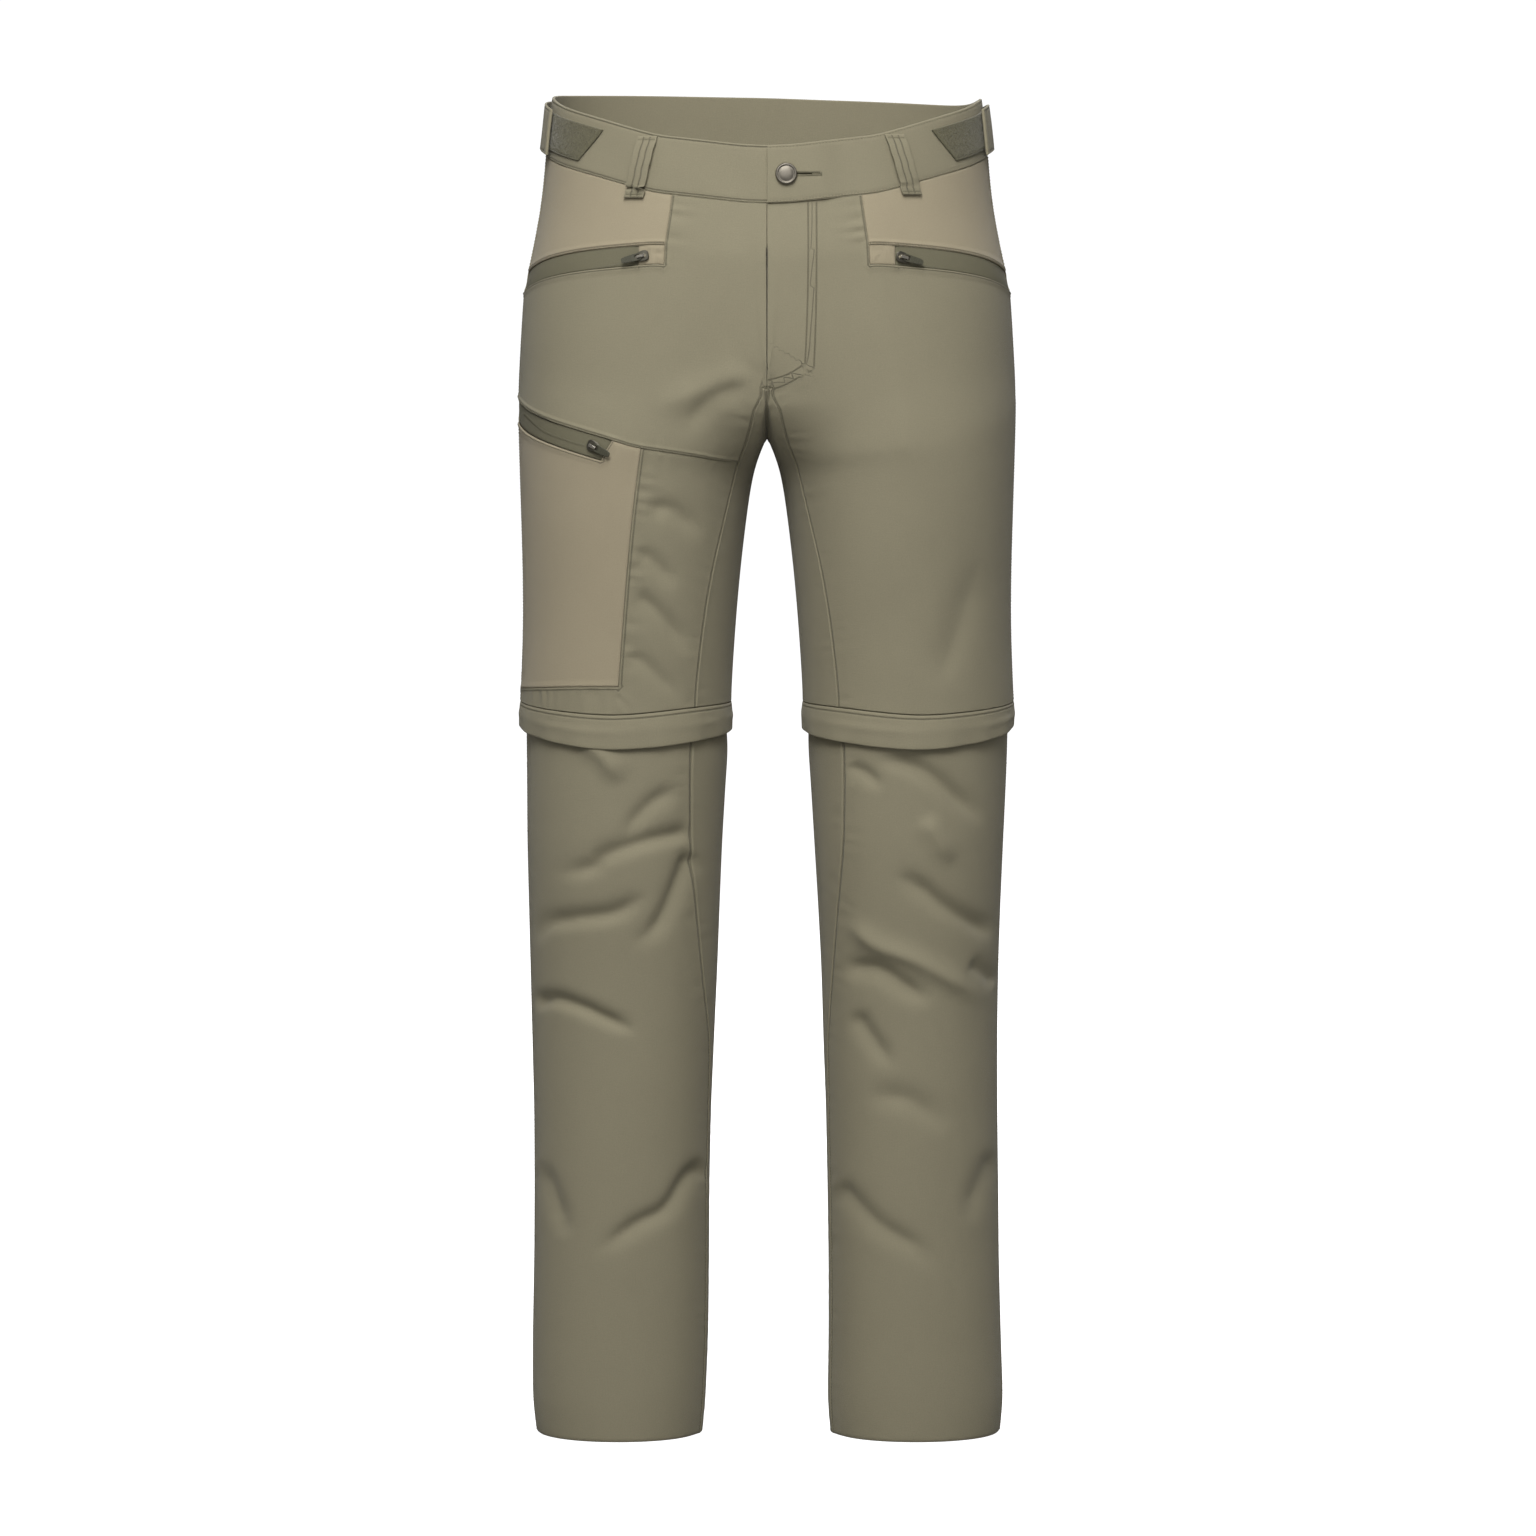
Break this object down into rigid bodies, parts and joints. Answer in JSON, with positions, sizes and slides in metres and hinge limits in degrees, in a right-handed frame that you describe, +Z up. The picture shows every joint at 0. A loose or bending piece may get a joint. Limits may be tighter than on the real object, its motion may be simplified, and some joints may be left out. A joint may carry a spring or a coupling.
{
  "type": "hiking trousers",
  "caption": "Hiking trousers with zip-off lower legs, filled out as worn: curved waistband with belt loops, hip yokes, hand pockets and a thigh pocket.",
  "frame": {"origin": "middle of the waist opening, at the height where the waistband grips the wearer at the sides", "axes": "+Z up along the legs, the front faces -Y, the wearer's left is at +X"},
  "size_m": [0.3964, 0.2504, 1.0715],
  "materials": {
    "olive_cloth": "plain woven, matt with a slight sheen",
    "stretch_cloth": "fine matt stretch weave",
    "zip_tape": "ribbed zip tape with coil",
    "loop_pile": "napped loop pile",
    "button_metal": "antique silver",
    "slider_metal": "olive enamel, worn bright on the bridge",
    "pull_plastic": "moulded, matt"
  },
  "bodies": {
    "garment": {"adjuster_patch_left": "loop_pile", "adjuster_patch_right": "loop_pile", "adjuster_tab_left": "olive_cloth", "adjuster_tab_right": "olive_cloth", "back_shin_left": "olive_cloth", "back_shin_right": "olive_cloth", "back_thigh_left": "olive_cloth", "back_thigh_right": "olive_cloth", "belt_loop_back_centre": "olive_cloth", "belt_loop_back_left": "olive_cloth", "belt_loop_back_right": "olive_cloth", "belt_loop_front_left": "olive_cloth", "belt_loop_front_right": "olive_cloth", "cargo_pocket": "stretch_cloth", "cargo_slider": "slider_metal", "cargo_zip_tape": "zip_tape", "fly_shield": "olive_cloth", "front_lower_thigh_right": "olive_cloth", "front_shin_left": "olive_cloth", "front_shin_right": "olive_cloth", "front_thigh_left": "olive_cloth", "front_thigh_right": "olive_cloth", "hand_slider_left": "slider_metal", "hand_slider_right": "slider_metal", "hand_zip_garage_left": "stretch_cloth", "hand_zip_garage_right": "stretch_cloth", "hand_zip_tape_left": "zip_tape", "hand_zip_tape_right": "zip_tape", "hip_yoke_left": "stretch_cloth", "hip_yoke_right": "stretch_cloth", "knee_cuff_left": "olive_cloth", "knee_cuff_right": "olive_cloth", "leg_zip_left": "zip_tape", "leg_zip_right": "zip_tape", "waist_button": "button_metal", "waistband_back": "olive_cloth", "waistband_front_left": "olive_cloth", "waistband_front_right": "olive_cloth"},
    "pull_hand_right": {"hand_pull_right": "pull_plastic"},
    "pull_hand_left": {"hand_pull_left": "pull_plastic"},
    "pull_cargo": {"cargo_pull": "pull_plastic"}
  },
  "joints": [
    {"name": "hand_pull_right_turn", "type": "hinge", "parent": "garment", "child": "pull_hand_right", "pos_m": [-0.09868, -0.10709, -0.09107], "axis": [-0.2043, 0.185, 0.9613], "range_deg": [0, 170]},
    {"name": "hand_pull_left_turn", "type": "hinge", "parent": "garment", "child": "pull_hand_left", "pos_m": [0.10745, -0.1038, -0.09204], "axis": [-0.2031, -0.2141, -0.9555], "range_deg": [0, 170]},
    {"name": "cargo_pull_turn", "type": "hinge", "parent": "garment", "child": "pull_cargo", "pos_m": [-0.13673, -0.10605, -0.23995], "axis": [-0.3686, 0.1783, -0.9123], "range_deg": [0, 170]}
  ]
}
